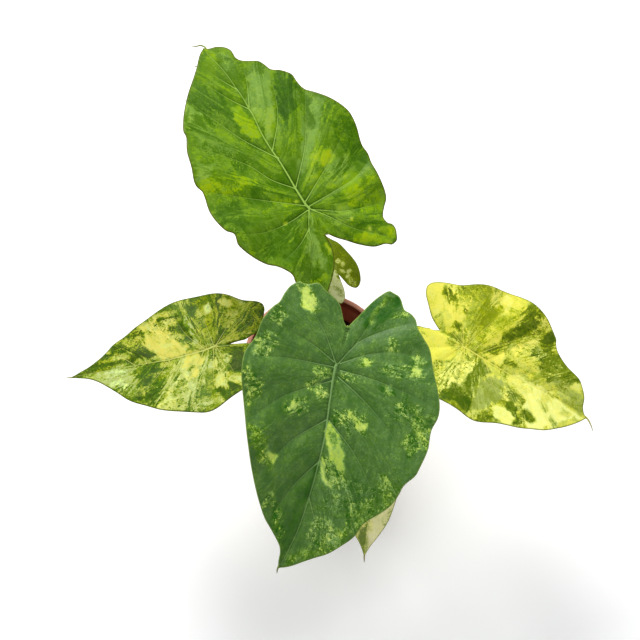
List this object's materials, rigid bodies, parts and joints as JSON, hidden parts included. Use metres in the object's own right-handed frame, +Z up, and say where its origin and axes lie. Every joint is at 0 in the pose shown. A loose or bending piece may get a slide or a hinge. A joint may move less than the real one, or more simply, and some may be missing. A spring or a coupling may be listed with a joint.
{
  "type": "potted giant taro plant",
  "caption": "Young variegated giant taro: heart-shaped leaf blades on long curved stalks, growing from a short stem in the soil of a small tapered nursery pot.",
  "frame": {"origin": "centre of the pot's flat base, on the surface that the pot stands on", "axes": "+Z up; -Y towards the plant's front, where the largest and highest leaf points; +X to the right seen from the front"},
  "size_m": [0.3497, 0.3473, 0.2686],
  "materials": {
    "pot": "thin matt terracotta-coloured plastic",
    "soil": "dark crumbly potting mix of bark, coir and perlite",
    "stem": "ringed green-brown stem skin with pale roots",
    "petiole": "smooth green leaf stalk with pale streaks",
    "blade_front": "deep green leaf with lime flecks, satin above, matt below",
    "blade_back": "fresh green leaf with soft lime patches, satin above, matt below",
    "blade_left": "green and cream-yellow marbled leaf, satin above, matt below",
    "blade_right": "cream-yellow leaf blotched with green, satin above, matt below",
    "blade_small_back": "olive leaf with pale flecks and one cream lobe",
    "blade_small_front": "cream and olive mottled leaf"
  },
  "bodies": {
    "root": {"pot": "pot", "soil": "soil", "stem_base": "stem", "petiole_front": "petiole", "petiole_back": "petiole", "petiole_left": "petiole", "petiole_right": "petiole", "petiole_small_back": "petiole", "petiole_small_front": "petiole", "blade_front": "blade_front", "blade_back": "blade_back", "blade_left": "blade_left", "blade_right": "blade_right", "blade_small_back": "blade_small_back", "blade_small_front": "blade_small_front"}
  },
  "joints": []
}
